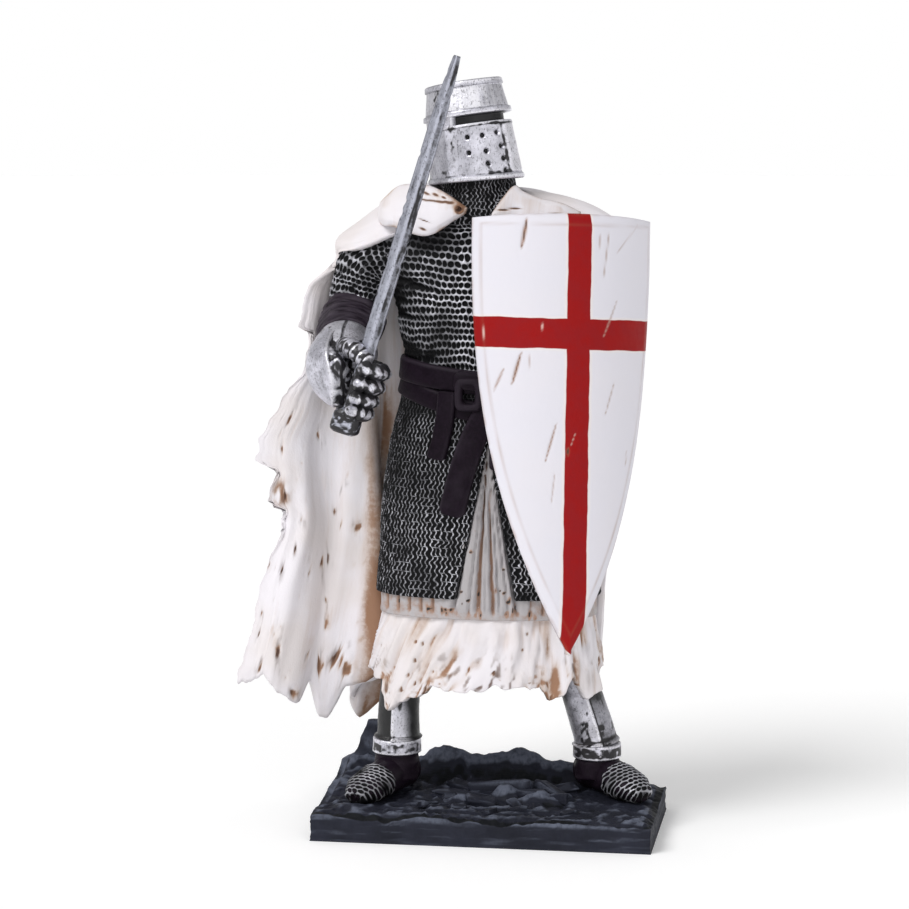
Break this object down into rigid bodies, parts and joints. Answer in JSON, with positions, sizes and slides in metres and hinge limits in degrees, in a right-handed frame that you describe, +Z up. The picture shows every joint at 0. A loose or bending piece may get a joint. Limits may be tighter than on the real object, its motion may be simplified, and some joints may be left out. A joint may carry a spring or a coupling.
{
  "type": "crusader knight statuette",
  "caption": "Painted cast statuette of a standing knight in great helm, mail and torn cloak, with raised sword and long shield, on a rocky rectangular plinth.",
  "frame": {"origin": "middle of the plinth's flat underside", "axes": "+Z up; the knight faces -Y; +X is to the right of someone who looks at the knight's front"},
  "size_m": [0.1054, 0.0564, 0.1867],
  "materials": {
    "slate_paint": "cast resin painted slate grey and dry-brushed",
    "cloth_paint": "cast resin painted off-white with a brown wash",
    "mail_paint": "cast resin painted black with silver dry-brushed on the rings",
    "steel_paint": "cast resin painted antique silver with a dark wash",
    "leather_paint": "cast resin painted dark brown purple, satin",
    "quilt_paint": "cast resin painted grey-white with a brown wash in the pleats",
    "shield_paint": "cast resin painted white with a plain red cross, scratched"
  },
  "bodies": {
    "root": {"plinth": "slate_paint", "knight": "cloth_paint", "shield": "shield_paint", "sword": "steel_paint"}
  },
  "joints": []
}
